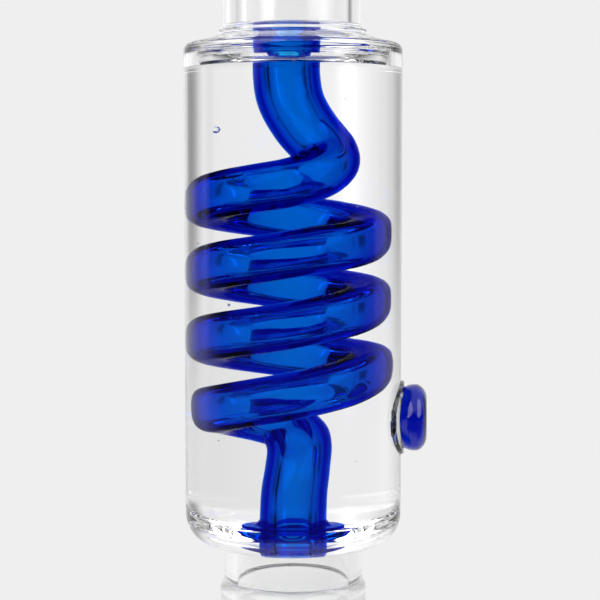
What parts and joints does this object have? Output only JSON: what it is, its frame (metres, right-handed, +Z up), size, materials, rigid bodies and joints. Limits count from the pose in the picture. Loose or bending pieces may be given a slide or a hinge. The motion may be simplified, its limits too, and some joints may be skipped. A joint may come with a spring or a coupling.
{
  "type": "liquid-filled glass coil chamber",
  "caption": "Clear glass chamber filled with coolant around a blue glass coil, with a neck above, a ground socket below and a sealed filling port on its side.",
  "frame": {"origin": "bottom centre of the bounding box, on the plane of the socket's mouth; the glass axis stands 3.1 mm from it towards -X, because the button widens the +X side", "axes": "+Z up along the glass axis from the ground socket to the neck, +X towards the filling port's button, -Y the front"},
  "size_m": [0.0562, 0.05, 0.198],
  "materials": {
    "clear_glass": "polished clear borosilicate",
    "ground_glass": "clear outside, ground taper inside",
    "cobalt_glass": "polished transparent cobalt blue",
    "coolant": "clear colourless liquid"
  },
  "bodies": {
    "root": {"jacket_tube": "clear_glass", "lower_end_wall": "clear_glass", "upper_end_wall": "clear_glass", "upper_neck": "clear_glass", "lower_neck": "clear_glass", "ground_socket": "ground_glass", "coil_tube": "cobalt_glass", "lower_flange": "cobalt_glass", "upper_flange": "cobalt_glass", "coolant": "coolant", "port_boss": "clear_glass", "port_pin": "cobalt_glass", "port_button": "cobalt_glass"}
  },
  "joints": []
}
